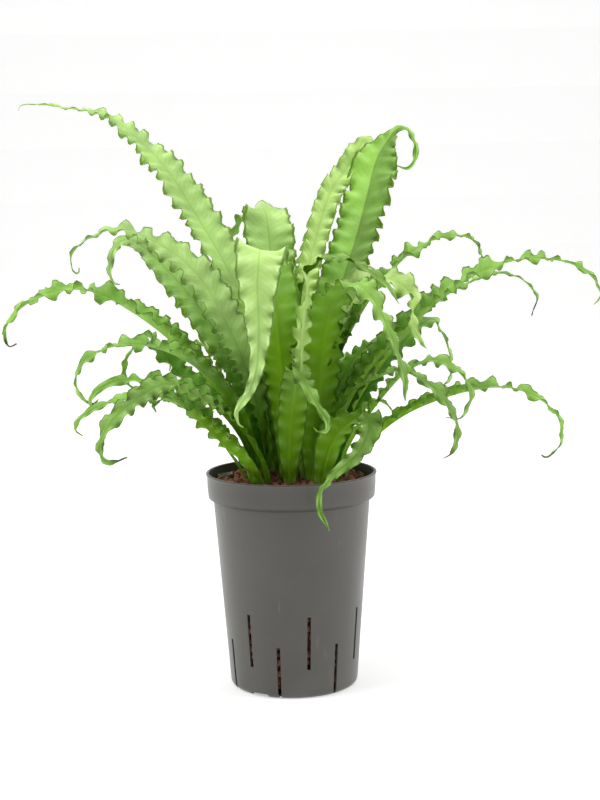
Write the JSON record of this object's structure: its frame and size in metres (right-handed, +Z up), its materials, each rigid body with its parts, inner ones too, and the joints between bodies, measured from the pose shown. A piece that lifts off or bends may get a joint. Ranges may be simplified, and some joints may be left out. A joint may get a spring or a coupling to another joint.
{
  "type": "potted bird's nest fern",
  "caption": "Bird's nest fern with long waved fronds that curl at their tips, in a tall tapered pot with slots in its lower wall, filled with clay granulate.",
  "frame": {"origin": "middle of the pot's foot, on the surface that it stands on", "axes": "+Z up along the pot's axis, +Y away from the side that the picture shows, +X to that side's right"},
  "size_m": [0.5304, 0.3662, 0.5214],
  "materials": {
    "pot_plastic": "satin grey",
    "shaft_plastic": "satin grey-green",
    "fired_clay": "rough, unglazed",
    "frond_light": "satin leaf",
    "frond_mid": "satin leaf",
    "frond_deep": "satin leaf",
    "frond_young": "satin leaf"
  },
  "bodies": {
    "root": {"pot": "pot_plastic", "gauge_shaft": "shaft_plastic", "granulate": "fired_clay", "frond_left_1": "frond_light", "frond_left_2": "frond_light", "frond_left_3": "frond_mid", "frond_left_4": "frond_mid", "frond_left_5": "frond_mid", "frond_left_6": "frond_mid", "frond_left_7": "frond_mid", "frond_left_8": "frond_mid", "frond_left_9": "frond_light", "frond_left_10": "frond_deep", "frond_front_1": "frond_light", "frond_front_2": "frond_light", "frond_front_3": "frond_light", "frond_front_4": "frond_mid", "frond_front_5": "frond_deep", "frond_front_6": "frond_young", "frond_front_7": "frond_mid", "frond_right_1": "frond_light", "frond_right_2": "frond_young", "frond_right_3": "frond_mid", "frond_right_4": "frond_light", "frond_right_5": "frond_mid", "frond_right_6": "frond_young", "frond_right_7": "frond_mid", "frond_right_8": "frond_mid", "frond_right_9": "frond_light", "frond_right_10": "frond_mid", "frond_right_11": "frond_deep", "frond_back_1": "frond_light", "frond_back_2": "frond_mid", "frond_back_3": "frond_mid", "frond_back_4": "frond_mid", "frond_back_5": "frond_mid", "frond_back_6": "frond_deep", "frond_back_7": "frond_deep", "frond_back_8": "frond_deep"}
  },
  "joints": []
}
